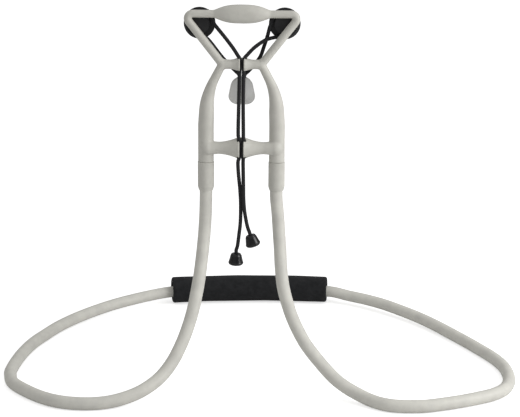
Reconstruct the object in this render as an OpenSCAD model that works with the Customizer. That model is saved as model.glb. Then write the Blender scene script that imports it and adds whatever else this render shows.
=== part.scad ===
// Phone holder worn round the neck: a long bendable tube with a padded grip carries a
// moulded frame, where two fixed hooks and a corded claw hold a phone by its long edges.
// It stands as on a table: the two loops of the tube and the grip rest at z = 0,
// +X runs along the grip, +Y points away from the wearer's side of the frame, +Z is up.

/* [Neck tube] */
// Outer diameter of the rubber sleeve
sleeve_d = 10.2; // [8:0.1:12]
// Diameter of the bendable metal core inside the sleeve
core_d = 5; // [3:0.1:6]
// Gap between the core and the sleeve's bore
core_gap = 0.2; // [0.05:0.05:0.4]

/* [Grip] */
// Outer diameter of the foam grip
grip_d = 24.4; // [18:0.2:32]
// Length of the foam grip along its bend
grip_length = 146; // [110:1:170]
// Radius that the grip is bent to
grip_bend = 495; // [400:5:900]
// Rounding of the grip's end edges
grip_edge = 2; // [0.5:0.1:3]
// Diameter of the grip's bore, which the tube lies loosely in
grip_bore_d = 15.1; // [13:0.1:17]
// Gap between the tube and the bottom of the grip's bore
grip_gap = 0.3; // [0.2:0.05:0.6]

/* [Head frame] */
// Distance between the two arms where they leave the collars
arm_spacing = 56.6; // [50:0.2:64]
// Diameter of an arm at its lower end
arm_d = 12.5; // [11.8:0.1:14]
// Diameter of the frame's slanted legs
frame_d = 6.5; // [5.5:0.1:8]
// Diameter of the top bar beside its swelling
bar_d = 6.1; // [5.5:0.1:8]
// Height at which the arms begin
seam_z = 177.1; // [170:0.1:184]
// Height at which the arms turn inwards
shoulder_z = 231.7; // [226:0.1:236]
// Radius of the arms' inward bend
shoulder_bend = 57; // [40:1:60]
// How far the arms lean inwards up to that bend
shoulder_lean = 0.7; // [0:0.1:1]
// Height of the waist, where the arms meet the upper bridge
waist_z = 255.6; // [252:0.1:258]
// Half the distance between the tubes at the waist
waist_half = 15.5; // [14:0.1:18]
// Height of the top bar's centre line
top_z = 295.2; // [291:0.1:300]
// Half the width of the frame where its corners would meet unrounded
corner_half = 46.4; // [43:0.1:50]
// Bend radius of the waist and the top corners
corner_bend = 3.8; // [3.6:0.1:4.6]
// Largest diameter of the swelling in the top bar
swell_d = 14.8; // [10:0.2:18]
// Half the length of the swelling
swell_half = 22.5; // [16:0.5:26]

/* [Bridges] */
// Height of the lower bridge
lower_z = 188.9; // [187:0.1:196]
// How far the lower bridge sits in front of the arms
lower_shift = 3.2; // [2:0.1:4]
// Neck diameter of the lower bridge
lower_neck_d = 9.8; // [7:0.1:11]
// Rim diameter of the lower bridge's two trumpets
lower_rim_d = 17.8; // [14:0.1:19]
// Length over which the lower bridge's trumpets flare
lower_flare = 16; // [12:0.5:20]
// Diameter of the lower bridge's round ends
lower_end_d = 12; // [10:0.1:13]
// Neck diameter of the upper bridge
upper_neck_d = 7.5; // [6.4:0.1:8]
// Rim diameter of the upper bridge's two trumpets
upper_rim_d = 11.6; // [11:0.1:13]
// Length over which the upper bridge's trumpets flare
upper_flare = 7.5; // [5:0.5:10]
// Diameter of the upper bridge's round ends
upper_end_d = 7.6; // [6.6:0.1:8.4]
// Width of the slit between the two trumpets of a bridge
slit_w = 3; // [2:0.1:3.4]
// Wall between the cords' channel and the front of a bridge's rim
rim_wall = 3.4; // [1.2:0.1:4]

/* [Hooks] */
// Distance of each hook's centre from the middle of the frame
hook_half = 33.5; // [33:0.1:36]
// How far the hooks' centres lie below the top bar's centre line
hook_drop = 8.2; // [7:0.1:9]
// Diameter of the core that the cord runs round
hook_core_d = 16; // [14:0.1:17]
// Diameter of the hook's flange
hook_flange_d = 25; // [23:0.2:28]
// Thickness of the hook's flange
hook_flange_t = 2.5; // [2:0.1:3]
// Depth of the pocket in the frame that each hook seats in
hook_seat = 0.8; // [0.4:0.1:1]
// Diameter of the pin that fixes each hook to the frame
hook_pin_d = 3; // [2:0.1:3.4]
// Width of each hook's lip
hook_lip_w = 14; // [8:0.5:18]

/* [Phone space] */
// Height of the ledge under the phone
ledge_z = 226; // [224:0.1:228]
// Height between the claw's ledge and the hooks' ledges
grip_height = 67.6; // [66:0.1:69]
// Depth of the space between the phone's back and the lips
phone_gap = 9.5; // [8:0.1:14]
// How far the lips reach over the phone's face
lip_reach = 6; // [4:0.1:8]
// Thickness of the ledges and lips
lip_t = 2.6; // [2:0.1:3.4]

/* [Claw] */
// Width of the claw's dome
claw_w = 21.4; // [18:0.1:24]
// Radius of the dome's top
claw_top_r = 9.2; // [8:0.1:10]
// Radius of the dome's two lower corners
claw_corner_r = 6.8; // [5:0.1:8]
// Height of the claw's dome
claw_h = 23.1; // [21:0.1:25]
// Thickness of the claw's dome at its middle
claw_t = 5.8; // [5:0.1:6]
// Depth of the two holes that the cords end in
claw_hole_depth = 3; // [2:0.1:5]

/* [Collars] */
// Diameter of a collar
collar_d = 13.1; // [12:0.1:15]
// Height of a collar
collar_h = 23.3; // [18:0.1:28]
// Height of the chamfer at a collar's lower end
collar_chamfer = 3; // [1:0.1:4]
// Height of the spigot that each arm stands in its collar with
spigot_h = 6; // [4:0.1:10]
// Depth of the hole in each arm for the tube's core
core_seat = 10; // [6:0.1:16]

/* [Cords and pulls] */
// Diameter of the elastic cords
cord_d = 3; // [2:0.1:3.6]
// Height of a cord pull
pull_h = 9.6; // [8:0.1:14]
// Diameter of a cord pull at its top
pull_top_d = 8.4; // [6:0.1:9]
// Diameter of a cord pull at its bottom
pull_base_d = 12.2; // [9:0.1:14]
// Depth of the recess under a cord pull
pull_recess = 1.5; // [0.5:0.1:3]
// Rounding of a cord pull's lower edge
pull_edge = 2.2; // [0.5:0.1:2.4]

/* [Fits] */
// Radial clearance of pins, spigots and cords in their holes
fit = 0.05; // [0.02:0.01:0.1]
// Space round each cord in the bridges' channels
channel_gap = 0.3; // [0.2:0.05:0.5]
// Space between a cord and the hook that it runs round
wrap_gap = 0.35; // [0.2:0.05:0.5]

/* [Hidden] */
// Middle of the frame on the table plane
head_x = -16;
head_y = -49.5;
// Middle of the grip's centre line and how far the grip is turned about Z
grip_x = -10;
grip_y = 131;
grip_turn = 2.2;

eps = 0.01;
arm_half = arm_spacing / 2;
arm_r = arm_d / 2;
frame_r = frame_d / 2;
bar_r = bar_d / 2;
collar_r = collar_d / 2;
sleeve_r = sleeve_d / 2;
grip_z = grip_d / 2;
top_ledge_z = ledge_z + grip_height;
hook_z = top_z - hook_drop;
// Depths behind the frame's plane: cord groove, flange and phone
groove_w = cord_d + 2 * channel_gap;
flange_y = frame_r + groove_w;
phone_y = flange_y + hook_flange_t;
lip_y = phone_y + phone_gap;
// Heights of the sleeve's two ends and of the core's
sleeve_end_z = seam_z - spigot_h;
core_end_z = seam_z + core_seat;
// Cord channels in the bridges, which both cords run down in side by side
channel_w = 2 * cord_d + 4 * channel_gap;
channel_depth = cord_d + 2 * channel_gap;
upper_channel_y = rim_wall + channel_depth / 2 - upper_rim_d / 2;
lower_channel_y = rim_wall + channel_depth / 2 - lower_rim_d / 2 - lower_shift;
// Where the centres of the bridges' round ends lie
lower_reach = arm_half - 1.2;
upper_reach = waist_half - 0.8;
// Depth of each hook's pin behind the frame's middle plane
hook_pin_depth = 0.8;
// Holes in the claw that the cords end in
claw_cord_x = 2.2;
claw_cord_y = phone_y - cord_d / 2 - 0.9;
claw_base_z = ledge_z - lip_t - 1.8;
claw_top_z = claw_base_z + claw_h;
// Sides and ring spacing of the swept tubes
sleeve_sides = 16;
grip_sides = 32;
core_sides = 8;
cord_sides = 8;
frame_sides = 24;
sleeve_step = 14;
cord_step = 6;

// Points that the neck tube passes through, from each collar down and round its loop
// to the grip
rest_z = sleeve_r;
left_x = head_x - arm_half;
right_x = head_x + arm_half;
left_loop = [
    [left_x, head_y, 160], [left_x, head_y, 148], [-44.7, -50.5, 132], [-45.6, -53.5, 117],
    [-47, -59, 102], [-48.7, -66, 87.8], [-50.9, -72.5, 74.8], [-53.7, -79.5, 61.6],
    [-57.8, -86.5, 48.6], [-62.5, -94.3, 37.7], [-68.6, -102.6, 27.1], [-76.7, -112, 18.3],
    [-86.5, -121, 12.4], [-97.9, -128.5, 8.4], [-111.8, -134.8, 5.9], [-124.9, -138.4, rest_z],
    [-139.5, -139.2, rest_z], [-155.1, -135.6, rest_z], [-169.3, -127.4, rest_z],
    [-184.6, -113, rest_z], [-197, -97, rest_z], [-201.6, -81, rest_z],
    [-202.9, -69, rest_z], [-201.4, -44.5, rest_z], [-198.3, -22.6, rest_z],
    [-193.6, -2.8, rest_z], [-187.2, 15, rest_z], [-177, 38.6, 5.5], [-160.4, 63.4, 6.5],
    [-137, 88.8, 7.8], [-111.5, 109, 8.8]];
right_loop = [
    [right_x, head_y, 160], [right_x, head_y, 148], [13.7, -50.5, 134], [14.8, -53, 119.5],
    [15.9, -57.5, 105], [16.7, -63.5, 92], [18.7, -71, 77.8], [23.2, -79.5, 63.4],
    [27.3, -85, 54.1], [31.9, -89.5, 45.7], [36.6, -93, 38.4], [42.7, -96.5, 31],
    [48.5, -100, 24.9], [54.4, -104.5, 19.4], [61.1, -109.5, 14.3], [69, -115.3, 10.3],
    [77, -120.5, 7.5], [84.9, -126.5, 5.6], [93.3, -133.2, rest_z], [101.9, -137.6, rest_z],
    [111, -139.2, rest_z], [120.5, -139.2, rest_z], [130, -138, rest_z],
    [144.6, -133.2, rest_z], [159.6, -127, rest_z], [174.6, -119.4, rest_z],
    [185.4, -112.6, rest_z], [195.4, -101.5, rest_z], [201.6, -84.5, rest_z],
    [203.1, -66, rest_z], [201.5, -48.5, rest_z], [196, -30, rest_z], [188, -12, rest_z],
    [179, 7, rest_z], [168, 27, 5.5], [156, 47.5, 6.1], [143, 66, 6.8], [129, 83, 7.3],
    [114.5, 98, 8], [99.4, 110.5, 8.3], [82.9, 121, 8.6]];

// Points that the cords pass through, measured from the foot of the frame's middle:
// out of the claw, round a hook, through both bridges and down to a pull
claw_cord_z = claw_top_z - claw_hole_depth;
cord_wrap_r = hook_core_d / 2 + cord_d / 2 + wrap_gap;
cord_wrap_y = frame_r + groove_w / 2;
channel_x = cord_d / 2 + 0.1;
left_cord_route = [
    [-claw_cord_x, claw_cord_y, claw_cord_z], [-claw_cord_x, claw_cord_y, 246],
    [-6.5, 6.7, 250.5], [-15.7, 6.6, 260.2], [-27.5, 5.4, 275],
    for (angle = [-82 : 20 : 158]) wrap_point(-1, angle),
    [-21.5, 4.6, 286], [-13.4, 3.1, 276.3], [-7, 1.2, 268.2], [-3.2, -0.2, 262.6],
    [-2, upper_channel_y, 260.8], [-channel_x, upper_channel_y, 258],
    [-channel_x, upper_channel_y, 251.5], [-1.9, -1.5, 244], [-2.1, -2.8, 232],
    [-2.3, -4.4, 220], [-2.5, -5.7, 208], [-2.5, -6.5, 200.5],
    [-2.05, lower_channel_y, 197.5], [-channel_x, lower_channel_y, 194],
    [-channel_x, lower_channel_y, 183], [-1.9, lower_channel_y, 181],
    [-2.6, lower_channel_y, 177.5], [-2.1, lower_channel_y + 0.2, 168],
    [-1.1, lower_channel_y + 0.8, 158], [-0.4, lower_channel_y + 1, 148],
    [-0.2, lower_channel_y + 1, 140], [-0.45, lower_channel_y + 0.6, 128],
    [-1.4, lower_channel_y, 119], [-2.6, lower_channel_y, 109]];
right_cord_route = [
    [claw_cord_x, claw_cord_y, claw_cord_z], [claw_cord_x, claw_cord_y, 246],
    [6.5, 6.7, 250.5], [14, 6.6, 260], [17.2, 6.5, 268.5], [19.9, 6.3, 277],
    [21, 5.4, 281.5], [22, cord_wrap_y, 285.2],
    for (angle = [165 : -20 : -75]) wrap_point(1, angle), wrap_point(1, -92),
    [26.5, 4.4, 276.6], [18.5, 3, 274.5], [10.2, 1.2, 269.1], [4, -0.1, 262.9],
    [2.2, upper_channel_y, 260.8], [channel_x, upper_channel_y, 258],
    [channel_x, upper_channel_y, 251.5], [1.4, -1.5, 244], [1.25, -2.8, 232],
    [1.3, -4.4, 220], [1.5, -5.7, 208], [1.6, -6.5, 200.5],
    [channel_x, lower_channel_y, 197.5], [channel_x, lower_channel_y, 181.5],
    [1.5, lower_channel_y, 177.5], [1.7, lower_channel_y - 0.2, 168],
    [1.9, lower_channel_y - 0.7, 158], [2.1, lower_channel_y - 0.8, 148],
    [2.9, lower_channel_y - 0.6, 138], [4.5, lower_channel_y - 0.2, 128.5],
    [5.7, lower_channel_y, 123.5]];
// Where each cord enters its pull, and how far that pull leans from upright
left_pull_at = [-3.7, lower_channel_y, 102.5];
left_pull_lean = 1.5;
right_pull_at = [7.6, lower_channel_y, 118];
right_pull_lean = 17;

function unit(v) = v / norm(v);
function reversed(list) = [for (i = [len(list) - 1 : -1 : 0]) list[i]];

// A point on a cord's turn round the hook on the given side, at an angle measured from
// straight outwards, with positive angles upwards
function wrap_point(side, angle) = [
    side * (hook_half + cord_wrap_r * cos(angle)),
    cord_wrap_y,
    hook_z + cord_wrap_r * sin(angle)];

// A smooth curve through all points of a route, with a point about every step
function curve_point(a, b, c, d, t) = 0.5 * (2 * b + (c - a) * t
    + (2 * a - 5 * b + 4 * c - d) * t * t + (3 * b - a - 3 * c + d) * t * t * t);
function curve(p, step) = let (last = len(p) - 1) [
    for (i = [0 : last - 1])
        let (
            parts = max(1, round(norm(p[i + 1] - p[i]) / step)),
            before = i == 0 ? 2 * p[0] - p[1] : p[i - 1],
            after = i == last - 1 ? 2 * p[last] - p[last - 1] : p[i + 2])
        for (k = [0 : parts - 1]) curve_point(before, p[i], p[i + 1], after, k / parts),
    p[last]];

function tangent(p, i) = unit(p[min(i + 1, len(p) - 1)] - p[max(i - 1, 0)]);

// Normals carried along the path so that the rings don't twist
function carried(n, t) = unit(n - (n * t) * t);
function normals(p, first) = [
    for (i = 0, n = carried(first, tangent(p, 0)); i < len(p);
        i = i + 1, n = i < len(p) ? carried(n, tangent(p, i)) : n) n];

function ring(centre, t, n, r, sides) = let (b = cross(n, t)) [
    for (k = [0 : sides - 1]) centre + r * (n * cos(360 * k / sides) + b * sin(360 * k / sides))];
function rings(p, radii, sides, first) = let (n = normals(p, first)) [
    for (i = [0 : len(p) - 1]) each ring(p[i], tangent(p, i), n[i], radii[i], sides)];
function side_faces(count, sides, start, flip) = [
    for (i = [0 : count - 2], k = [0 : sides - 1])
        let (
            a = start + i * sides + k,
            b = start + i * sides + (k + 1) % sides,
            c = b + sides,
            d = a + sides)
        each flip ? [[a, c, b], [a, d, c]] : [[a, b, c], [a, c, d]]];

// A solid tube along a path, with a radius for each of its points
module solid_tube(p, radii, sides, first) {
    count = len(p);
    polyhedron(
        points = rings(p, radii, sides, first),
        faces = [
            [for (k = [sides - 1 : -1 : 0]) k],
            each side_faces(count, sides, 0, false),
            [for (k = [0 : sides - 1]) (count - 1) * sides + k]],
        convexity = 8);
}

// A hollow tube along a path, with an outer radius for each of its points and a bore that
// has half as many sides as its outside
module hollow_tube(p, radii, bore_r, sides, first) {
    count = len(p);
    half = sides / 2;
    inner = count * sides;
    last = (count - 1) * sides;
    last_inner = inner + (count - 1) * half;
    polyhedron(
        points = concat(
            rings(p, radii, sides, first),
            rings(p, [for (q = p) bore_r], half, first)),
        faces = [
            each side_faces(count, sides, 0, false),
            each side_faces(count, half, inner, true),
            for (k = [0 : half - 1])
                let (m = (2 * k + 2) % sides, n = (k + 1) % half)
                each [
                    [2 * k + 1, 2 * k, inner + k],
                    [2 * k + 1, inner + k, inner + n],
                    [2 * k + 1, inner + n, m],
                    [last + 2 * k, last + 2 * k + 1, last_inner + k],
                    [last_inner + k, last + 2 * k + 1, last_inner + n],
                    [last_inner + n, last + 2 * k + 1, last + m]]],
        convexity = 8);
}

// The grip's centre line is an arc: angles are measured from its middle
grip_half_angle = grip_length / 2 / grip_bend * 180 / PI;
function grip_point(angle, z) = let (
        along = grip_bend * sin(angle),
        back = grip_bend * (cos(angle) - 1))
    [grip_x + along * cos(grip_turn) - back * sin(grip_turn),
        grip_y + along * sin(grip_turn) + back * cos(grip_turn), z];
tube_grip_z = grip_z - (grip_bore_d / 2 - sleeve_r) + grip_gap;
grip_run = [for (i = [-6 : 6]) grip_point(i / 6 * (grip_half_angle + 0.6), tube_grip_z)];

neck_route = concat(left_loop, grip_run, reversed(right_loop));
neck_curve = curve(neck_route, sleeve_step);
function with_ends(z) = concat([[left_x, head_y, z]], neck_curve, [[right_x, head_y, z]]);

module neck_sleeve() {
    path = with_ends(sleeve_end_z);
    color("gainsboro")
        hollow_tube(path, [for (q = path) sleeve_r], core_d / 2 + core_gap, sleeve_sides,
            [0, 1, 0]);
}

module core_wire() {
    path = with_ends(core_end_z);
    color("silver") solid_tube(path, [for (q = path) core_d / 2], core_sides, [0, 1, 0]);
}

// Places along the grip's centre line, as an angle from its middle and the outer radius
// there, with both ends rounded
grip_rounding = [for (a = [0 : 30 : 90]) [
    grip_half_angle - grip_edge * (1 - cos(a)) / grip_bend * 180 / PI,
    grip_d / 2 - grip_edge * (1 - sin(a))]];
grip_stations = concat(
    [for (q = grip_rounding) [-q[0], q[1]]],
    [for (i = [-5 : 5]) [i / 6 * grip_half_angle, grip_d / 2]],
    reversed(grip_rounding));

module foam_grip() {
    color("#2b2c2e")
        hollow_tube([for (q = grip_stations) grip_point(q[0], grip_z)],
            [for (q = grip_stations) q[1]], grip_bore_d / 2, grip_sides, [0, 0, 1]);
}

module at_head() {
    translate([head_x, head_y, 0]) children();
}

module mirrored_x() {
    mirror([1, 0, 0]) children();
}

module collar() {
    bottom = seam_z - collar_h;
    bore_r = sleeve_r + fit;
    color("#d4d3cf")
        translate([arm_half, 0, 0])
            rotate_extrude($fn = 64)
                polygon([
                    [bore_r, bottom], [bore_r + 0.5, bottom],
                    [collar_r, bottom + collar_chamfer], [collar_r, seam_z - 0.3],
                    [collar_r - 0.3, seam_z], [spigot_r + fit, seam_z],
                    [spigot_r + fit, sleeve_end_z], [bore_r, sleeve_end_z]]);
}

// Radius of the frame's tube at a height on the arms and along the top bar
spigot_r = arm_r - 0.8;
taper_start = 211.5;
taper_end = waist_z - 4;
function smooth(t) = let (s = min(max(t, 0), 1)) s * s * (3 - 2 * s);
function arm_radius(z) = arm_r + (frame_r - arm_r) * smooth((z - taper_start) / (taper_end - taper_start));
function swell_radius(x) = bar_r
    + (swell_d / 2 - bar_r) * pow(max(0, 1 - pow(x / swell_half, 3)), 1.7);

// Points on a bend of radius r at corner b between a and c
function bend(a, b, c, r, steps) = let (
        u = unit(a - b),
        v = unit(c - b),
        half = acos(u * v) / 2,
        middle = b + unit(u + v) * r / sin(half),
        start = b + u * r / tan(half),
        end = b + v * r / tan(half),
        sweep = 180 - 2 * half)
    [for (i = [0 : steps])
        let (s = i / steps)
        middle + (start - middle) * sin((1 - s) * sweep) / sin(sweep)
            + (end - middle) * sin(s * sweep) / sin(sweep)];

foot = [arm_half, 0, seam_z];
shoulder = [arm_half - shoulder_lean, 0, shoulder_z];
waist = [waist_half, 0, waist_z];
corner = [corner_half, 0, top_z];
crown = [0, 0, top_z];
arm_run = concat(
    [foot, [arm_half, 0, 195], [arm_half, 0, 207]],
    bend(foot, shoulder, waist, shoulder_bend, 7));
leg_run = concat(bend(shoulder, waist, corner, corner_bend, 5), [(waist + corner) / 2]);
corner_run = bend(waist, corner, crown, corner_bend, 8);
bar_run = [for (s = [1.1, 1, 0.94, 0.87, 0.78, 0.68, 0.57, 0.44, 0.3, 0.15])
    [s * swell_half, 0, top_z]];
right_half = concat(arm_run, leg_run, corner_run, bar_run);
right_radii = [
    for (q = concat(arm_run, leg_run)) arm_radius(q[2]),
    for (i = [0 : 8]) frame_r + (bar_r - frame_r) * i / 8,
    for (q = bar_run) swell_radius(q[0])];
left_half = [for (q = reversed(right_half)) [-q[0], q[1], q[2]]];
frame_path = concat(right_half, [crown], left_half);
frame_radii = concat(right_radii, [swell_d / 2], reversed(right_radii));

// One bridge, as its outline turned round its own length: trumpets that flare to a rim
// at the slit, a neck, and round ends that lie on the arms
module bridge(neck_d, rim_d, flare, reach, end_r) {
    neck_r = neck_d / 2;
    rim_r = rim_d / 2;
    rotate([0, 90, 0])
        rotate_extrude($fn = 64)
            polygon([
                [0, -reach - end_r],
                for (s = [-1, 1])
                    each bridge_side(s, neck_r, rim_r, flare, reach, end_r),
                [0, reach + end_r]]);
}

// One side of a bridge's outline, from its outer end to the slit for s = -1 and from the
// slit to the outer end for s = 1
function bridge_side(s, neck_r, rim_r, flare, reach, end_r) = let (
        points = [
            [rim_r - 0.4, slit_w / 2],
            [rim_r, slit_w / 2 + 0.5],
            for (t = [0.12, 0.25, 0.4, 0.55, 0.7, 0.85, 1])
                [neck_r + (rim_r - neck_r) * pow(1 - t, 1.8), slit_w / 2 + 0.5 + t * flare],
            [neck_r + (end_r - neck_r) * 0.35, slit_w / 2 + flare + 0.6 * (reach - slit_w / 2 - flare)],
            for (a = [0 : 15 : 75]) [end_r * cos(a), reach + end_r * sin(a)]])
    s > 0 ? points : [for (q = reversed(points)) [q[0], -q[1]]];

// The channel that both cords run down in, with a slit to the wearer's side
module cord_channel(z, rim_d, channel_y, shift) {
    tall = rim_d + 4;
    front = -shift - rim_d / 2 - 1;
    translate([-channel_w / 2, channel_y - channel_depth / 2, z - tall / 2])
        cube([channel_w, channel_depth, tall]);
    translate([-slit_w / 2, front, z - tall / 2])
        cube([slit_w, channel_y - front, tall]);
}

// Middle of each hook's pin, in the tube of the frame's slanted leg
leg_way = unit(corner - waist);
pin_at = waist + leg_way * ((hook_half - waist_half) * leg_way[0] + (hook_z - waist_z) * leg_way[2]);

module head_frame() {
    color("#d9d8d4")
        at_head()
            difference() {
                union() {
                    solid_tube(frame_path, frame_radii, frame_sides, [0, 1, 0]);
                    translate([0, -lower_shift, lower_z])
                        bridge(lower_neck_d, lower_rim_d, lower_flare, lower_reach, lower_end_d / 2);
                    translate([0, 0, waist_z])
                        bridge(upper_neck_d, upper_rim_d, upper_flare, upper_reach, upper_end_d / 2);
                    for (s = [-1, 1])
                        translate([s * arm_half, 0, sleeve_end_z])
                            cylinder(h = spigot_h + 1, r = spigot_r, $fn = 64);
                }
                cord_channel(lower_z, lower_rim_d, lower_channel_y, lower_shift);
                cord_channel(waist_z, upper_rim_d, upper_channel_y, 0);
                for (s = [-1, 1]) {
                    translate([s * arm_half, 0, sleeve_end_z - 1])
                        cylinder(h = core_end_z + 1 - sleeve_end_z + fit, r = core_d / 2 + fit, $fn = 48);
                    translate([s * hook_half, frame_r - hook_seat, hook_z])
                        rotate([-90, 0, 0])
                            cylinder(h = frame_r, r = hook_core_d / 2 + fit, $fn = 64);
                    translate([s * pin_at[0], -hook_pin_depth - fit, pin_at[2]])
                        rotate([-90, 0, 0])
                            cylinder(h = frame_r + hook_pin_depth, r = hook_pin_d / 2 + fit, $fn = 32);
                }
            }
}

// A ledge and lip that reach over one edge of the phone: the ledge is flat at z = 0 on
// the phone's side, and up is -1 for a ledge under the phone and 1 for one above it
module ledge(width, up) {
    edge_r = lip_t / 2;
    far = lip_y + edge_r;
    for (run = [[phone_y, far, 0, 0], [far, far, 0, -lip_reach]])
        hull()
            for (k = [0, 1])
                translate([-width / 2, run[k], up * (edge_r + run[2 + k])])
                    rotate([0, 90, 0])
                        cylinder(h = width, r = edge_r, $fn = 24);
}

module hook() {
    translate([hook_half, 0, hook_z])
        rotate([-90, 0, 0]) {
            translate([0, 0, frame_r - hook_seat])
                cylinder(h = groove_w + hook_seat + eps, r = hook_core_d / 2, $fn = 64);
            translate([0, 0, flange_y])
                rotate_extrude($fn = 96)
                    polygon([
                        [0, 0], [hook_flange_d / 2 - 0.5, 0], [hook_flange_d / 2, 0.5],
                        [hook_flange_d / 2, hook_flange_t - 0.5],
                        [hook_flange_d / 2 - 0.5, hook_flange_t], [0, hook_flange_t]]);
        }
    translate([pin_at[0], -hook_pin_depth, pin_at[2]])
        rotate([-90, 0, 0])
            cylinder(h = frame_r + hook_pin_depth, r = hook_pin_d / 2, $fn = 32);
    translate([hook_half, 0, top_ledge_z])
        ledge(hook_lip_w, 1);
    translate([hook_half - hook_lip_w / 2, phone_y - 1, top_ledge_z])
        cube([hook_lip_w, 1 + lip_t / 2, lip_t]);
    // The flange's own plate carries the ledge wherever that lies
    translate([hook_half - hook_lip_w / 2, flange_y, min(hook_z, top_ledge_z)])
        cube([hook_lip_w, hook_flange_t, abs(top_ledge_z - hook_z) + lip_t]);
}

module left_hook() {
    color("#232325") at_head() mirrored_x() hook();
}

module right_hook() {
    color("#232325") at_head() hook();
}

// The claw's dome, seen from the wearer's side as an egg with a flat lower end
module claw_outline() {
    hull() {
        translate([0, claw_top_z - claw_top_r]) circle(r = claw_top_r, $fn = 64);
        for (s = [-1, 1])
            translate([s * (claw_w / 2 - claw_corner_r), claw_base_z + claw_corner_r])
                circle(r = claw_corner_r, $fn = 48);
    }
}

module bottom_claw() {
    dome_r = 26;
    color("#e4e4e2")
        at_head()
            difference() {
                union() {
                    intersection() {
                        translate([0, phone_y, 0])
                            rotate([90, 0, 0])
                                linear_extrude(claw_t) claw_outline();
                        translate([0, phone_y - claw_t + dome_r, claw_base_z + claw_h * 0.62])
                            sphere(r = dome_r, $fn = 96);
                    }
                    translate([0, 0, ledge_z]) ledge(claw_w * 0.72, -1);
                    translate([-claw_w * 0.36, phone_y - 1, ledge_z - lip_t])
                        cube([claw_w * 0.72, 1 + lip_t / 2, lip_t]);
                }
                for (s = [-1, 1])
                    translate([s * claw_cord_x, claw_cord_y, claw_cord_z - fit])
                        cylinder(h = claw_hole_depth + 2, r = cord_d / 2 + fit, $fn = 32);
            }
}

// The end of a cord runs straight into its pull
function pull_way(lean) = [-sin(lean), 0, cos(lean)];
cord_in_pull = pull_h - pull_recess - 2;
function cord_path(route, at, lean) = curve(
    concat(route, [at + 3 * pull_way(lean), at, at - cord_in_pull * pull_way(lean)]), cord_step);
left_cord_curve = cord_path(left_cord_route, left_pull_at, -left_pull_lean);
right_cord_curve = cord_path(right_cord_route, right_pull_at, right_pull_lean);

module cord(path) {
    color("#1c1c1e")
        at_head()
            solid_tube(path, [for (q = path) cord_d / 2], cord_sides, [0, 1, 0]);
}

module left_cord() {
    cord(left_cord_curve);
}

module right_cord() {
    cord(right_cord_curve);
}

// A bell-shaped pull, hanging from its top at the origin
module pull() {
    top_r = pull_top_d / 2;
    base_r = pull_base_d / 2;
    hole_r = cord_d / 2 + fit;
    rotate_extrude($fn = 48)
        polygon([
            [hole_r, 0], [top_r - 1.2, 0],
            for (a = [60 : -20 : 0]) [top_r - 1.2 * (1 - cos(a)), -1.2 * (1 - sin(a))],
            for (t = [0.25, 0.4, 0.55, 0.7])
                [top_r + (base_r - top_r) * pow(t / 0.82, 1.1), -t * pull_h],
            for (a = [0 : 22.5 : 90])
                [base_r - pull_edge * (1 - cos(a)), pull_edge * (1 - sin(a)) - pull_h],
            [base_r - pull_edge - 0.4, -pull_h], [base_r - pull_edge - 0.8, pull_recess - pull_h],
            [0, pull_recess - pull_h], [0, -cord_in_pull - fit],
            [hole_r, -cord_in_pull - fit]]);
}

module left_pull() {
    color("#151517") at_head() translate(left_pull_at) rotate([0, left_pull_lean, 0]) pull();
}

module right_pull() {
    color("#151517") at_head() translate(right_pull_at) rotate([0, -right_pull_lean, 0]) pull();
}

module left_collar() {
    at_head() mirrored_x() collar();
}

module right_collar() {
    at_head() collar();
}

neck_sleeve();
core_wire();
foam_grip();
left_collar();
right_collar();
head_frame();
left_hook();
right_hook();
bottom_claw();
left_cord();
right_cord();
left_pull();
right_pull();
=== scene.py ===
"""Looks of the neck-worn phone holder: rubber tube, foam grip, moulded frame, claw and cords.

Lengths are in millimetres until a mesh is made, and every mesh is in metres in the frame
of the CAD model. The outlines and the cords' routes repeat the CAD source's own values.
"""
import math

import bpy
import numpy as np
from mathutils import Matrix, Vector


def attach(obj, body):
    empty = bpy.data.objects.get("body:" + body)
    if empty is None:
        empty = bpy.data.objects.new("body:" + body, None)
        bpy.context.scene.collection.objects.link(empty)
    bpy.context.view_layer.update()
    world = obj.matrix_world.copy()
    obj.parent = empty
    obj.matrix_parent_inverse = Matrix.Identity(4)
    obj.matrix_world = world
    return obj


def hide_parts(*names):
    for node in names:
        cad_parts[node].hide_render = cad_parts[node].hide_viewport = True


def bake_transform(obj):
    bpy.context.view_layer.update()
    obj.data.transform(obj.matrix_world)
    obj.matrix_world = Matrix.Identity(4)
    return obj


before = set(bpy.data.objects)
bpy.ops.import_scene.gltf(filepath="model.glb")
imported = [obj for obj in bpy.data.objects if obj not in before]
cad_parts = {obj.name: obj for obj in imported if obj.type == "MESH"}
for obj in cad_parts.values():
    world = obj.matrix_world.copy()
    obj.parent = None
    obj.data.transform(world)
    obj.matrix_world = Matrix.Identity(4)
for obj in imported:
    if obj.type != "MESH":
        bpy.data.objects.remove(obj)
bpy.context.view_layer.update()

MM = 0.001

# Neck tube and grip
SLEEVE_R = 5.1
CORE_R = 2.5
GRIP_R = 12.2
GRIP_BORE_R = 7.55
GRIP_LENGTH = 146
GRIP_BEND = 495
GRIP_EDGE = 2
GRIP_GAP = 0.3
GRIP_MIDDLE = (-10, 131)
GRIP_TURN = math.radians(2.2)
# Waves in the grip's surface: height, length, shift along, lobes round it, shift round it
GRIP_WAVES = ((0.12, 9.1, 1.3, 2, 0.4), (0.08, 4.3, 0, 3, 1.9))
REST_Z = SLEEVE_R

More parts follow.
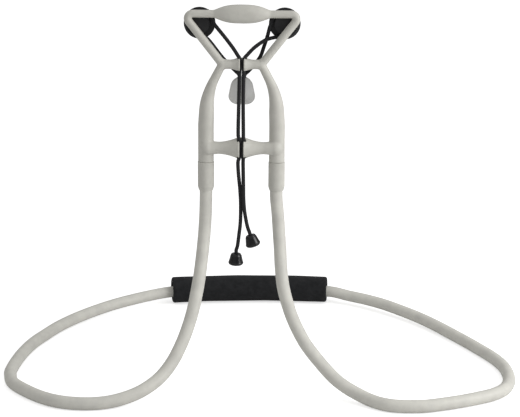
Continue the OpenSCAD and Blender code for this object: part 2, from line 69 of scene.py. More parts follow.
# Head frame
HEAD = np.array([-16.0, -49.5, 0.0])
ARM_HALF = 28.3
ARM_R = 6.25
TUBE_R = 3.25
BAR_R = 3.05
SEAM_Z = 177.1
SPIGOT_H = 6
SPIGOT_R = ARM_R - 0.8
CORE_SEAT = 10
SHOULDER_Z = 231.7
SHOULDER_BEND = 57
SHOULDER_LEAN = 0.7
WAIST_Z = 255.6
WAIST_HALF = 15.5
TOP_Z = 295.2
CORNER_HALF = 46.4
CORNER_BEND = 3.8
SWELL_R = 7.4
SWELL_HALF = 22.5
TAPER = (211.5, WAIST_Z - 4)

# Bridges: height, forward shift, neck radius, rim radius, flare, reach, end radius
LOWER_BRIDGE = (188.9, 3.2, 4.9, 8.9, 16, ARM_HALF - 1.2, 6)
UPPER_BRIDGE = (WAIST_Z, 0, 3.75, 5.8, 7.5, WAIST_HALF - 0.8, 3.8)
SLIT_W = 3
RIM_WALL = 3.4

# Hooks, claw and phone space
HOOK_HALF = 33.5
HOOK_Z = TOP_Z - 8.2
HOOK_CORE_R = 8
HOOK_SEAT = 0.8
FLANGE_T = 2.5
LEDGE_Z = 226
PHONE_GAP = 9.5
LIP_REACH = 6
LIP_T = 2.6
CLAW_W = 21.4
CLAW_TOP_R = 9.2
CLAW_CORNER_R = 6.8
CLAW_H = 23.1
CLAW_T = 5.8
CLAW_DOME_R = 26
CLAW_FOOT = 1.8
CLAW_DOME_AT = 0.62
CLAW_HOLE_DEPTH = 3
CLAW_HOLE_WALL = 0.9
LEDGE_SHARE = 0.36

# Cords and pulls
CORD_D = 3
CHANNEL_GAP = 0.3
WRAP_GAP = 0.35
PULL_H = 9.6
PULL_TOP_R = 4.2
PULL_BASE_R = 6.1
PULL_RECESS = 1.5
PULL_EDGE = 2.2
PULL_SHOULDER = 1.2
# Skirt of a pull, as shares of its height: first, last, where the radius would be full, power
PULL_SKIRT = (0.16, 0.76, 0.82, 1.1)

# Clearance where one piece enters another
FIT = 0.05

# Grids of the joined solids: low corner, high corner
FRAME_BOX = ((-52, -14, 168), (52, 10, 305))
CLAW_BOX = ((-13, 0, 218), (13, 24, 249))

# Places that follow from the values above
GROOVE_W = CORD_D + 2 * CHANNEL_GAP
PHONE_Y = TUBE_R + GROOVE_W + FLANGE_T
LIP_Y = PHONE_Y + PHONE_GAP
SLEEVE_END_Z = SEAM_Z - SPIGOT_H
CORE_END_Z = SEAM_Z + CORE_SEAT
CHANNEL_W = 2 * CORD_D + 4 * CHANNEL_GAP
CHANNEL_DEPTH = GROOVE_W
UPPER_Y = -UPPER_BRIDGE[3] + RIM_WALL + CHANNEL_DEPTH / 2
LOWER_Y = -LOWER_BRIDGE[1] - LOWER_BRIDGE[3] + RIM_WALL + CHANNEL_DEPTH / 2
CLAW_BASE_Z = LEDGE_Z - LIP_T - CLAW_FOOT
CLAW_TOP_Z = CLAW_BASE_Z + CLAW_H
CLAW_CORD = (2.2, PHONE_Y - CORD_D / 2 - CLAW_HOLE_WALL, CLAW_TOP_Z - CLAW_HOLE_DEPTH)
WRAP_R = HOOK_CORE_R + CORD_D / 2 + WRAP_GAP
WRAP_Y = TUBE_R + GROOVE_W / 2
CHANNEL_X = CORD_D / 2 + 0.1
CORD_IN_PULL = PULL_H - PULL_RECESS - 2

# Route of the neck tube from each collar to the grip
LEFT_X = HEAD[0] - ARM_HALF
RIGHT_X = HEAD[0] + ARM_HALF
LEFT_LOOP = [
    (LEFT_X, HEAD[1], 160), (LEFT_X, HEAD[1], 148), (-44.7, -50.5, 132), (-45.6, -53.5, 117),
    (-47, -59, 102), (-48.7, -66, 87.8), (-50.9, -72.5, 74.8), (-53.7, -79.5, 61.6),
    (-57.8, -86.5, 48.6), (-62.5, -94.3, 37.7), (-68.6, -102.6, 27.1), (-76.7, -112, 18.3),
    (-86.5, -121, 12.4), (-97.9, -128.5, 8.4), (-111.8, -134.8, 5.9), (-124.9, -138.4, REST_Z),
    (-139.5, -139.2, REST_Z), (-155.1, -135.6, REST_Z), (-169.3, -127.4, REST_Z),
    (-184.6, -113, REST_Z), (-197, -97, REST_Z), (-201.6, -81, REST_Z),
    (-202.9, -69, REST_Z), (-201.4, -44.5, REST_Z), (-198.3, -22.6, REST_Z),
    (-193.6, -2.8, REST_Z), (-187.2, 15, REST_Z), (-177, 38.6, 5.5), (-160.4, 63.4, 6.5),
    (-137, 88.8, 7.8), (-111.5, 109, 8.8)]
RIGHT_LOOP = [
    (RIGHT_X, HEAD[1], 160), (RIGHT_X, HEAD[1], 148), (13.7, -50.5, 134), (14.8, -53, 119.5),
    (15.9, -57.5, 105), (16.7, -63.5, 92), (18.7, -71, 77.8), (23.2, -79.5, 63.4),
    (27.3, -85, 54.1), (31.9, -89.5, 45.7), (36.6, -93, 38.4), (42.7, -96.5, 31),
    (48.5, -100, 24.9), (54.4, -104.5, 19.4), (61.1, -109.5, 14.3), (69, -115.3, 10.3),
    (77, -120.5, 7.5), (84.9, -126.5, 5.6), (93.3, -133.2, REST_Z), (101.9, -137.6, REST_Z),
    (111, -139.2, REST_Z), (120.5, -139.2, REST_Z), (130, -138, REST_Z),
    (144.6, -133.2, REST_Z), (159.6, -127, REST_Z), (174.6, -119.4, REST_Z),
    (185.4, -112.6, REST_Z), (195.4, -101.5, REST_Z), (201.6, -84.5, REST_Z),
    (203.1, -66, REST_Z), (201.5, -48.5, REST_Z), (196, -30, REST_Z), (188, -12, REST_Z),
    (179, 7, REST_Z), (168, 27, 5.5), (156, 47.5, 6.1), (143, 66, 6.8), (129, 83, 7.3),
    (114.5, 98, 8), (99.4, 110.5, 8.3), (82.9, 121, 8.6)]


def wrap_point(side, degrees):
    """A point on a cord's turn round a hook, from straight outwards, positive upwards."""
    a = math.radians(degrees)
    return (side * (HOOK_HALF + WRAP_R * math.cos(a)), WRAP_Y, HOOK_Z + WRAP_R * math.sin(a))


# Routes of the cords from the claw to the pulls, measured from the foot of the frame
LEFT_CORD = [
    (-CLAW_CORD[0], CLAW_CORD[1], CLAW_CORD[2]), (-CLAW_CORD[0], CLAW_CORD[1], 246),
    (-6.5, 6.7, 250.5), (-15.7, 6.6, 260.2), (-27.5, 5.4, 275),
    *[wrap_point(-1, a) for a in range(-82, 159, 20)],
    (-21.5, 4.6, 286), (-13.4, 3.1, 276.3), (-7, 1.2, 268.2), (-3.2, -0.2, 262.6),
    (-2, UPPER_Y, 260.8), (-CHANNEL_X, UPPER_Y, 258), (-CHANNEL_X, UPPER_Y, 251.5),
    (-1.9, -1.5, 244), (-2.1, -2.8, 232), (-2.3, -4.4, 220), (-2.5, -5.7, 208),
    (-2.5, -6.5, 200.5), (-2.05, LOWER_Y, 197.5), (-CHANNEL_X, LOWER_Y, 194),
    (-CHANNEL_X, LOWER_Y, 183), (-1.9, LOWER_Y, 181), (-2.6, LOWER_Y, 177.5),
    (-2.1, LOWER_Y + 0.2, 168), (-1.1, LOWER_Y + 0.8, 158), (-0.4, LOWER_Y + 1, 148),
    (-0.2, LOWER_Y + 1, 140), (-0.45, LOWER_Y + 0.6, 128), (-1.4, LOWER_Y, 119),
    (-2.6, LOWER_Y, 109)]
RIGHT_CORD = [
    (CLAW_CORD[0], CLAW_CORD[1], CLAW_CORD[2]), (CLAW_CORD[0], CLAW_CORD[1], 246),
    (6.5, 6.7, 250.5), (14, 6.6, 260), (17.2, 6.5, 268.5), (19.9, 6.3, 277),
    (21, 5.4, 281.5), (22, WRAP_Y, 285.2),
    *[wrap_point(1, a) for a in range(165, -76, -20)], wrap_point(1, -92),
    (26.5, 4.4, 276.6), (18.5, 3, 274.5), (10.2, 1.2, 269.1), (4, -0.1, 262.9),
    (2.2, UPPER_Y, 260.8), (CHANNEL_X, UPPER_Y, 258), (CHANNEL_X, UPPER_Y, 251.5),
    (1.4, -1.5, 244), (1.25, -2.8, 232), (1.3, -4.4, 220), (1.5, -5.7, 208),
    (1.6, -6.5, 200.5), (CHANNEL_X, LOWER_Y, 197.5), (CHANNEL_X, LOWER_Y, 181.5),
    (1.5, LOWER_Y, 177.5), (1.7, LOWER_Y - 0.2, 168), (1.9, LOWER_Y - 0.7, 158),
    (2.1, LOWER_Y - 0.8, 148), (2.9, LOWER_Y - 0.6, 138), (4.5, LOWER_Y - 0.2, 128.5),
    (5.7, LOWER_Y, 123.5)]
LEFT_PULL = (np.array([-3.7, LOWER_Y, 102.5]), math.radians(-1.5))
RIGHT_PULL = (np.array([7.6, LOWER_Y, 118]), math.radians(17))

# Where behind the frame the cords would start to follow the claw, and how far their direction would
# lean to the side; nothing below makes the cords follow the claw
FOLLOW_Y = -2
FOLLOW_LEAN = 0.3

# Camera, as placed from the photograph: 520 by 417 frame
CAMERA_AT = (-0.00072, -1.21893, 0.45163)
CAMERA_PITCH = math.radians(75)
CAMERA_ROLL = math.radians(0.5)
CAMERA_LENS = 103.85

# Light: the floor's own glow, the dome from horizon to zenith, and what makes the dome's
# default grey of 0.8 white where the camera sees it
FLOOR_GLOW = 0.62
WORLD_LEVEL = (0.17, 1.02)
WHITE_LEVEL = 1.25


# Curves and meshes

def curve(points, step):
    """A Catmull-Rom curve through all points, with a point about every step."""
    p = np.array(points, float)
    ends = [2 * p[0] - p[1]], [2 * p[-1] - p[-2]]
    q = np.concatenate([ends[0], p, ends[1]])
    out = []
    for i in range(len(p) - 1):
        a, b, c, d = q[i:i + 4]
        parts = max(1, round(np.linalg.norm(c - b) / step))
        for t in np.arange(parts) / parts:
            out.append(0.5 * (2 * b + (c - a) * t + (2 * a - 5 * b + 4 * c - d) * t ** 2
                              + (3 * b - a - 3 * c + d) * t ** 3))
    out.append(p[-1])
    return np.array(out)


def unit(v):
    return v / np.linalg.norm(v, axis=-1, keepdims=True)


def path_frames(path, first):
    """Tangents and two normals at each point, carried along without twist."""
    t = unit(np.gradient(path, axis=0))
    n = np.empty_like(path)
    carried = np.array(first, float)
    for i, way in enumerate(t):
        carried = carried - carried.dot(way) * way
        carried /= np.linalg.norm(carried)
        n[i] = carried
    return t, n, np.cross(n, t)


def spokes(n, b, turn):
    """Unit vectors round each point of a path, one for each angle of turn."""
    c, s = np.cos(turn)[None, :, None], np.sin(turn)[None, :, None]
    return c * n[:, None, :] + s * b[:, None, :]


def arc_lengths(path):
    steps = np.linalg.norm(np.diff(path, axis=0), axis=1)
    return np.concatenate([[0], np.cumsum(steps)])


def make_mesh(name, points, faces, uvs=None):
    """An object from points in millimetres, with one UV pair a loop, in metres."""
    mesh = bpy.data.meshes.new(name)
    mesh.from_pydata((np.asarray(points) * MM).tolist(), [], faces)
    if uvs is not None:
        layer = mesh.uv_layers.new(name="surface")
        layer.data.foreach_set("uv", np.asarray(uvs, np.float32).ravel() * MM)
    mesh.validate()
    mesh.shade_smooth()
    obj = bpy.data.objects.new(name, mesh)
    bpy.context.scene.collection.objects.link(obj)
    return obj


def sweep(name, path, radii, sides, first=(0, 1, 0), relief=None):
    """A closed tube along a path. relief(angle, along) gives what is added to the radius."""
    _, n, b = path_frames(path, first)
    along = arc_lengths(path)
    angle = np.arange(sides) * 2 * math.pi / sides
    r = np.broadcast_to(np.asarray(radii, float).reshape(-1, 1), (len(path), sides)).copy()
    if relief is not None:
        r += relief(angle[None, :], along[:, None])
    rings = path[:, None, :] + r[..., None] * spokes(n, b, angle)
    points = np.concatenate([rings.reshape(-1, 3), path[:1], path[-1:]])
    count = len(path)
    faces, uvs = [], []
    width = 2 * math.pi * float(np.mean(radii)) / sides
    for i in range(count - 1):
        for k in range(sides):
            m = (k + 1) % sides
            faces.append((i * sides + k, i * sides + m, (i + 1) * sides + m, (i + 1) * sides + k))
            low, high = k * width, (k + 1) * width
            uvs += [(low, along[i]), (high, along[i]), (high, along[i + 1]), (low, along[i + 1])]
    start, end = count * sides, count * sides + 1
    for k in range(sides):
        m = (k + 1) % sides
        faces.append((start, m, k))
        faces.append((end, (count - 1) * sides + k, (count - 1) * sides + m))
        uvs += [(0, 0), (0, 0), (0, 0)] * 2
    return make_mesh(name, points, faces, uvs)


def lathe(name, profile, segments, place):
    """A profile of radius and height turned about Z; place maps its points to the frame."""
    p = np.array(profile, float)
    a = np.arange(segments) * 2 * math.pi / segments
    points = np.stack([p[:, :1] * np.cos(a), p[:, :1] * np.sin(a),
                       np.broadcast_to(p[:, 1:], (len(p), segments))], -1).reshape(-1, 3)
    faces = []
    for i in range(len(p) - 1):
        for k in range(segments):
            m = (k + 1) % segments
            faces.append((i * segments + k, (i + 1) * segments + k,
                          (i + 1) * segments + m, i * segments + m))
    return make_mesh(name, place(points), faces)


# Smoothly joined solids, made from distance fields

def smooth_min(a, b, k):
    h = np.clip(0.5 + 0.5 * (b - a) / k, 0, 1)
    return b * (1 - h) + a * h - k * h * (1 - h)


def smooth_max(a, b, k):
    return -smooth_min(-a, -b, k)


class Field:
    """Distances on a grid of points, in millimetres, measured from the foot of the frame."""

    FAR = 5.0
    MARGIN = 2.5

    def __init__(self, low, high, voxel):
        self.low = np.array(low, float)
        self.voxel = voxel
        self.shape = tuple(np.ceil((np.array(high) - low) / voxel).astype(int) + 1)
        self.values = np.full(self.shape, self.FAR)

    def block(self, low, high):
        """The slice of the grid between two corners, and its points' coordinates."""
        a = np.floor((np.array(low) - self.low) / self.voxel)
        b = np.ceil((np.array(high) - self.low) / self.voxel) + 1
        a, b = (np.clip(c, 0, self.shape).astype(int) for c in (a, b))
        part = tuple(slice(i, j) for i, j in zip(a, b))
        axes = [self.low[d] + np.arange(a[d], b[d]) * self.voxel for d in range(3)]
        return part, np.meshgrid(*axes, indexing="ij")

    def add(self, low, high, distance, k=0.0):
        part, (x, y, z) = self.block(low, high)
        d = np.minimum(distance(x, y, z), self.FAR)
        old = self.values[part]
        self.values[part] = smooth_min(old, d, k) if k else np.minimum(old, d)

    def cut(self, low, high, distance, k=0.3):
        part, (x, y, z) = self.block(low, high)
        self.values[part] = smooth_max(self.values[part], -distance(x, y, z), k)

    def add_chain(self, points, radii):
        """A tube of changing radius through the points."""
        for a, b, ra, rb in zip(points[:-1], points[1:], radii[:-1], radii[1:]):
            reach = max(ra, rb) + self.MARGIN
            low, high = np.minimum(a, b) - reach, np.maximum(a, b) + reach
            self.add(low, high, lambda x, y, z: segment(x, y, z, a, b, ra, rb))

    def sample(self, p):
        """The field and its slope at points, by linear interpolation."""
        q = (p - self.low) / self.voxel
        base = np.clip(np.floor(q).astype(int), 0, np.array(self.shape) - 2)
        f = q - base
        value = np.zeros(len(p))
        slope = np.zeros_like(p)
        for corner in np.ndindex(2, 2, 2):
            v = self.values[tuple((base + corner).T)]
            w = [f[:, d] if corner[d] else 1 - f[:, d] for d in range(3)]
            sign = [1 if c else -1 for c in corner]
            value += v * w[0] * w[1] * w[2]
            slope[:, 0] += v * sign[0] * w[1] * w[2]
            slope[:, 1] += v * sign[1] * w[0] * w[2]
            slope[:, 2] += v * sign[2] * w[0] * w[1]
        return value, slope / self.voxel

    def surface(self, name, place):
        """The closed surface where the distance is zero, as quads."""
        v = self.values
        inside = v < 0
        corners = list(np.ndindex(2, 2, 2))
        n = np.array(self.shape) - 1
        parts = [tuple(slice(c[d], c[d] + n[d]) for d in range(3)) for c in corners]
        count = sum(inside[p].astype(np.int8) for p in parts)
        cells = np.argwhere((count > 0) & (count < 8))
        index = np.full(n, -1)
        index[tuple(cells.T)] = np.arange(len(cells))
        f = np.array([v[tuple((cells + c).T)] for c in corners])
        total = np.zeros((len(cells), 3))
        hits = np.zeros(len(cells))
        for i, a in enumerate(corners):
            for j, b in enumerate(corners):
                if sum(abs(p - q) for p, q in zip(a, b)) != 1 or i > j:
                    continue
                crossing = (f[i] < 0) != (f[j] < 0)
                t = np.where(crossing, f[i] / np.where(crossing, f[i] - f[j], 1), 0)
                at = np.array(a) + t[:, None] * (np.array(b) - np.array(a))
                total += np.where(crossing[:, None], at, 0)
                hits += crossing
        points = self.low + (cells + total / hits[:, None]) * self.voxel
        for _ in range(3):
            value, slope = self.sample(points)
            step = value[:, None] * slope / np.maximum((slope ** 2).sum(1), 0.05)[:, None]
            points -= np.clip(step, -0.5 * self.voxel, 0.5 * self.voxel)
        faces = []
        for d in range(3):
            e, g = (d + 1) % 3, (d + 2) % 3
            first = [slice(None)] * 3
            second = [slice(None)] * 3
            first[d], second[d] = slice(0, -1), slice(1, None)
            change = inside[tuple(first)] != inside[tuple(second)]
            at = np.argwhere(change)
            at = at[(at[:, e] > 0) & (at[:, g] > 0) & (at[:, e] < n[e]) & (at[:, g] < n[g])]
            outward = inside[tuple(at.T)]
            quad = []
            for back in ((1, 1), (0, 1), (0, 0), (1, 0)):
                cell = at.copy()
                cell[:, e] -= back[0]
                cell[:, g] -= back[1]
                quad.append(index[tuple(cell.T)])
            quad = np.stack(quad, 1)
            quad[~outward] = quad[~outward][:, ::-1]
            faces += quad.tolist()
        return make_mesh(name, place(points), faces)


def segment(x, y, z, a, b, ra, rb):
    """Distance to a rod from a to b, whose radius goes from ra to rb."""
    way = b - a
    t = ((x - a[0]) * way[0] + (y - a[1]) * way[1] + (z - a[2]) * way[2]) / way.dot(way)
    t = np.clip(t, 0, 1)
    gap = np.sqrt((x - a[0] - t * way[0]) ** 2 + (y - a[1] - t * way[1]) ** 2
                  + (z - a[2] - t * way[2]) ** 2)
    return gap - (ra + (rb - ra) * t)


def rounded_box(x, y, z, low, high, r):
    """Distance to a box between two corners, whose edges are rounded to r."""
    middle = (np.array(low) + high) / 2
    half = (np.array(high) - low) / 2 - r
    q = [np.abs(c - m) - h for c, m, h in zip((x, y, z), middle, half)]
    outside = np.sqrt(sum(np.maximum(c, 0) ** 2 for c in q))
    return outside + np.minimum(np.maximum(np.maximum(q[0], q[1]), q[2]), 0) - r


def at_head(points):
    """Points measured from the foot of the frame, placed in the part."""
    return np.asarray(points) + HEAD


# Outline of the frame's tube

def bend(a, b, c, r, steps):
    """Points on a bend of radius r at corner b between a and c."""
    u, v = unit(a - b), unit(c - b)
    half = math.acos(u.dot(v)) / 2
    middle = b + unit(u + v) * r / math.sin(half)
    start, end = b + u * r / math.tan(half), b + v * r / math.tan(half)
    sweep_angle = math.pi - 2 * half
    s = np.linspace(0, 1, steps + 1)[:, None]
    return (middle + (start - middle) * np.sin((1 - s) * sweep_angle) / math.sin(sweep_angle)
            + (end - middle) * np.sin(s * sweep_angle) / math.sin(sweep_angle))


def arm_radius(z):
    t = np.clip((z - TAPER[0]) / (TAPER[1] - TAPER[0]), 0, 1)
    return ARM_R + (TUBE_R - ARM_R) * t * t * (3 - 2 * t)


def swell_radius(x):
    return BAR_R + (SWELL_R - BAR_R) * np.maximum(0, 1 - (x / SWELL_HALF) ** 3) ** 1.7


def frame_half():
    """The right half of the frame's centre line, from the arm's foot to the crown."""
    foot = np.array([ARM_HALF, 0, SEAM_Z])
    shoulder = np.array([ARM_HALF - SHOULDER_LEAN, 0, SHOULDER_Z])
    waist = np.array([WAIST_HALF, 0, WAIST_Z])
    corner = np.array([CORNER_HALF, 0, TOP_Z])
    crown = np.array([0, 0, TOP_Z])
    bar = [(s * SWELL_HALF, 0, TOP_Z) for s in np.linspace(1.1, 0, 30)]
    lower = np.concatenate([
        [foot], [[ARM_HALF, 0, z] for z in (195, 207)],
        bend(foot, shoulder, waist, SHOULDER_BEND, 30)])
    leg = np.concatenate([bend(shoulder, waist, corner, CORNER_BEND, 12), [(waist + corner) / 2]])
    turn = bend(waist, corner, crown, CORNER_BEND, 14)
    points = np.concatenate([lower, leg, turn, bar])
    radii = np.concatenate([
        arm_radius(lower[:, 2]), arm_radius(leg[:, 2]),
        np.linspace(TUBE_R, BAR_R, len(turn)), swell_radius(np.array(bar)[:, 0])])
    return points, radii


def bridge_profile(neck_r, rim_r, flare, reach, end_r):
    """Distance from the middle and radius along one half of a bridge."""
    at = [0, SLIT_W / 2, SLIT_W / 2 + 0.5]
    r = [rim_r - 0.4, rim_r - 0.4, rim_r]
    for t in np.linspace(0.06, 1, 24):
        at.append(SLIT_W / 2 + 0.5 + t * flare)
        r.append(neck_r + (rim_r - neck_r) * (1 - t) ** 1.8)
    at += [SLIT_W / 2 + flare + 0.6 * (reach - SLIT_W / 2 - flare), reach]
    r += [neck_r + (end_r - neck_r) * 0.35, end_r]
    return np.array(at), np.array(r)


def add_bridge(field, bridge, k):
    z0, shift, neck_r, rim_r, flare, reach, end_r = bridge
    at, r = bridge_profile(neck_r, rim_r, flare, reach, end_r)

    def distance(x, y, z):
        away = np.abs(x)
        rho = np.sqrt((y + shift) ** 2 + (z - z0) ** 2)
        slope = (np.interp(away + 0.2, at, r) - np.interp(away - 0.2, at, r)) / 0.4
        bar = (rho - np.interp(away, at, r)) / np.sqrt(1 + slope ** 2)
        bar = np.maximum(bar, away - reach)
        ball = np.sqrt((away - reach) ** 2 + (y + shift) ** 2 + (z - z0) ** 2) - end_r
        return np.minimum(bar, ball)

    span = reach + end_r + 3
    field.add((-span, -shift - rim_r - 3, z0 - rim_r - 3),
              (span, -shift + rim_r + 3, z0 + rim_r + 3), distance, k)


def cut_channel(field, z0, rim_r, channel_y, shift):
    tall = rim_r + 2
    half = CHANNEL_W / 2
    back, front = channel_y + CHANNEL_DEPTH / 2, channel_y - CHANNEL_DEPTH / 2
    field.cut((-5, front - 3, z0 - tall - 2), (5, back + 3, z0 + tall + 2),
              lambda x, y, z: rounded_box(
                  x, y, z, (-half, front, z0 - tall - 4), (half, back, z0 + tall + 4), 1.2))
    slit = SLIT_W / 2
    field.cut((-5, -shift - rim_r - 3, z0 - tall - 2), (5, channel_y, z0 + tall + 2),
              lambda x, y, z: rounded_box(
                  x, y, z, (-slit, -shift - rim_r - 6, z0 - tall - 4),
                  (slit, channel_y, z0 + tall + 4), 0.3), 0.5)


def cylinder_field(x0, z_low, z_high, r):
    """Distance to an upright cylinder at x0."""
    def distance(x, y, z):
        rho = np.sqrt((x - x0) ** 2 + y ** 2)
        return np.maximum(rho - r, np.maximum(z_low - z, z - z_high))
    return distance


def hook_pocket(x, y, z):
    """Distance to the seats of both hooks in the back of the frame."""
    rho = np.sqrt((np.abs(x) - HOOK_HALF) ** 2 + (z - HOOK_Z) ** 2)
    return np.maximum(rho - HOOK_CORE_R - FIT, TUBE_R - HOOK_SEAT - y)


def make_frame_body():
    (low_x, low_y, low_z), (high_x, high_y, high_z) = FRAME_BOX
    field = Field(*FRAME_BOX, 0.45)
    points, radii = frame_half()
    mirrored = points[::-1] * (-1, 1, 1)
    field.add_chain(np.concatenate([points, mirrored[1:]]),
                    np.concatenate([radii, radii[::-1][1:]]))
    field.cut((low_x, low_y, low_z), (high_x, high_y, SEAM_Z + 4),
              lambda x, y, z: z - SEAM_Z - FIT, 0.5)
    add_bridge(field, LOWER_BRIDGE, 1.0)
    add_bridge(field, UPPER_BRIDGE, 1.6)
    for side in (-1, 1):
        x0 = side * ARM_HALF
        low, high = (x0 - 8, -8, low_z), (x0 + 8, 8, SEAM_Z + 1)
        field.add(low, high, cylinder_field(x0, SLEEVE_END_Z, SEAM_Z + 1, SPIGOT_R))
        field.cut((x0 - 4, -4, low_z), (x0 + 4, 4, CORE_END_Z + 1),
                  cylinder_field(x0, low_z - 8, CORE_END_Z, CORE_R + 2 * FIT))
    cut_channel(field, UPPER_BRIDGE[0], UPPER_BRIDGE[3], UPPER_Y, UPPER_BRIDGE[1])
    cut_channel(field, LOWER_BRIDGE[0], LOWER_BRIDGE[3], LOWER_Y, LOWER_BRIDGE[1])
    field.cut((low_x, 0, 270), (high_x, high_y, high_z), hook_pocket, 0.2)
    return field.surface("frame_body", at_head)


def claw_outline(x, z):
    """Distance in the claw's plane to the hull of its top circle and two lower ones."""
    px = np.abs(x)
    top = CLAW_TOP_Z - CLAW_TOP_R
    low = CLAW_BASE_Z + CLAW_CORNER_R
    aside = CLAW_W / 2 - CLAW_CORNER_R
    way = np.array([-aside, top - low])
    length = np.linalg.norm(way)
    b = (CLAW_CORNER_R - CLAW_TOP_R) / length
    a = math.sqrt(1 - b * b)
    u, v = way / length
    along = (px - aside) * u + (z - low) * v
    across = (px - aside) * v - (z - low) * u
    side = a * across + b * along - CLAW_CORNER_R
    at_low = np.hypot(px - aside, z - low) - CLAW_CORNER_R
    at_top = np.hypot(px, z - top) - CLAW_TOP_R
    k = a * along - b * across
    edge = np.where(k < 0, at_low, np.where(k > a * length, at_top, side))
    flat = np.maximum(CLAW_BASE_Z - z, px - aside)
    return np.where((px < aside) & (z < low), np.minimum(edge, flat), edge)


def make_claw_body():
    field = Field(*CLAW_BOX, 0.3)
    dome_z = CLAW_BASE_Z + CLAW_H * CLAW_DOME_AT

    def dome(x, y, z):
        ball = np.sqrt(x ** 2 + (y - PHONE_Y + CLAW_T - CLAW_DOME_R) ** 2 + (z - dome_z) ** 2)
        shell = smooth_max(claw_outline(x, z), ball - CLAW_DOME_R, 1.6)
        return smooth_max(shell, y - PHONE_Y, 0.6)

    field.add(*CLAW_BOX, dome)
    half = CLAW_W * LEDGE_SHARE
    bottom = LEDGE_Z - LIP_T
    field.add((-11, 4, 219), (11, 24, 236), lambda x, y, z: rounded_box(
        x, y, z, (-half, PHONE_Y - 2, bottom), (half, LIP_Y + LIP_T, LEDGE_Z), 1.1), 1.0)
    field.add((-11, 14, 219), (11, 24, 236), lambda x, y, z: rounded_box(
        x, y, z, (-half, LIP_Y, bottom), (half, LIP_Y + LIP_T, LEDGE_Z + LIP_REACH), 1.2), 0.8)
    for side in (-1, 1):
        x0 = side * CLAW_CORD[0]

        def hole(x, y, z, x0=x0):
            rho = np.sqrt((x - x0) ** 2 + (y - CLAW_CORD[1]) ** 2)
            return np.maximum(rho - CORD_D / 2 - FIT, CLAW_CORD[2] - z)

        field.cut((x0 - 4, 2, 238), (x0 + 4, 12, 249), hole, 0.3)
    return field.surface("claw_body", at_head)


# Pieces

def grip_point(angle, z):
    """Points on the grip's bend, at an angle from its middle and a height."""
    along = GRIP_BEND * np.sin(angle)
    back = GRIP_BEND * (np.cos(angle) - 1)
    c, s = math.cos(GRIP_TURN), math.sin(GRIP_TURN)
    return np.stack([GRIP_MIDDLE[0] + along * c - back * s,
                     GRIP_MIDDLE[1] + along * s + back * c,
                     np.full_like(along, z)], -1)


def neck_route():
    half = GRIP_LENGTH / 2 / GRIP_BEND + math.radians(0.6)
    tube_z = GRIP_R - (GRIP_BORE_R - SLEEVE_R) + GRIP_GAP
    run = grip_point(np.linspace(-half, half, 13), tube_z)
    return np.concatenate([LEFT_LOOP, run, RIGHT_LOOP[::-1]])


def with_ends(path, z):
    """A path that goes on up into both arms of the frame, to a height."""
    return np.concatenate([[(LEFT_X, HEAD[1], z)], path, [(RIGHT_X, HEAD[1], z)]])


def make_neck_tube():
    path = with_ends(curve(neck_route(), 2.5), SLEEVE_END_Z)
    return sweep("neck_tube", path, SLEEVE_R, 40)


def make_core():
    path = with_ends(curve(neck_route(), 6), CORE_END_Z)
    return sweep("core_rod", path, CORE_R, 12)


def make_grip():
    """The foam grip: rounded ends, a loose bore and the slight unevenness of cut foam."""
    half = GRIP_LENGTH / 2 / GRIP_BEND
    rounding = [(GRIP_EDGE * (1 - math.cos(a)), GRIP_R - GRIP_EDGE * (1 - math.sin(a)))
                for a in np.linspace(0, math.pi / 2, 7)]
    ends = [(half - e / GRIP_BEND, r) for e, r in rounding]
    middle = np.linspace(-1, 1, 121)[1:-1] * (half - GRIP_EDGE / GRIP_BEND)
    stations = [(-a, r) for a, r in ends] + [(a, GRIP_R) for a in middle] + ends[::-1]
    angles = np.array([a for a, _ in stations])
    radii = np.array([r for _, r in stations])
    path = grip_point(angles, GRIP_R)
    sides = 96
    _, n, b = path_frames(path, (0, 0, 1))
    turn = np.arange(sides) * 2 * math.pi / sides
    around = spokes(n, b, turn)
    along = arc_lengths(path)[:, None]
    uneven = sum(height * np.sin(along / length + shift) * np.sin(lobes * turn + start)
                 for height, length, shift, lobes, start in GRIP_WAVES)
    deepest = sum(wave[0] for wave in GRIP_WAVES)
    outer = path[:, None, :] + (radii[:, None] - deepest + uneven)[..., None] * around
    inner = path[:, None, :] + GRIP_BORE_R * around
    count = len(path)
    points = np.concatenate([outer.reshape(-1, 3), inner.reshape(-1, 3)])
    faces = []
    base = count * sides
    last = (count - 1) * sides
    for k in range(sides):
        m = (k + 1) % sides
        for i in range(count - 1):
            p, q = i * sides, (i + 1) * sides
            faces.append((p + k, p + m, q + m, q + k))
            faces.append((base + p + m, base + p + k, base + q + k, base + q + m))
        faces.append((m, k, base + k, base + m))
        faces.append((last + k, last + m, base + last + m, base + last + k))
    return make_mesh("grip_foam", points, faces)


def cord_relief(angle, along):
    """The crossing strands of a braided cord."""
    turns = 2 * math.pi / 5.2
    return 0.07 * np.abs(np.sin(6 * angle + along * turns)) \
        * np.abs(np.sin(6 * angle - along * turns)) - 0.03


def pull_way(lean):
    return np.array([-math.sin(lean), 0, math.cos(lean)])


def cord_path(route, pull):
    at, lean = pull
    way = pull_way(lean)
    points = [*route, at + 3 * way, at, at - CORD_IN_PULL * way]
    return at_head(curve(points, 0.4))


def make_cord(name, route, pull):
    path = cord_path(route, pull)
    return sweep(name, path, CORD_D / 2, 32, relief=cord_relief), path


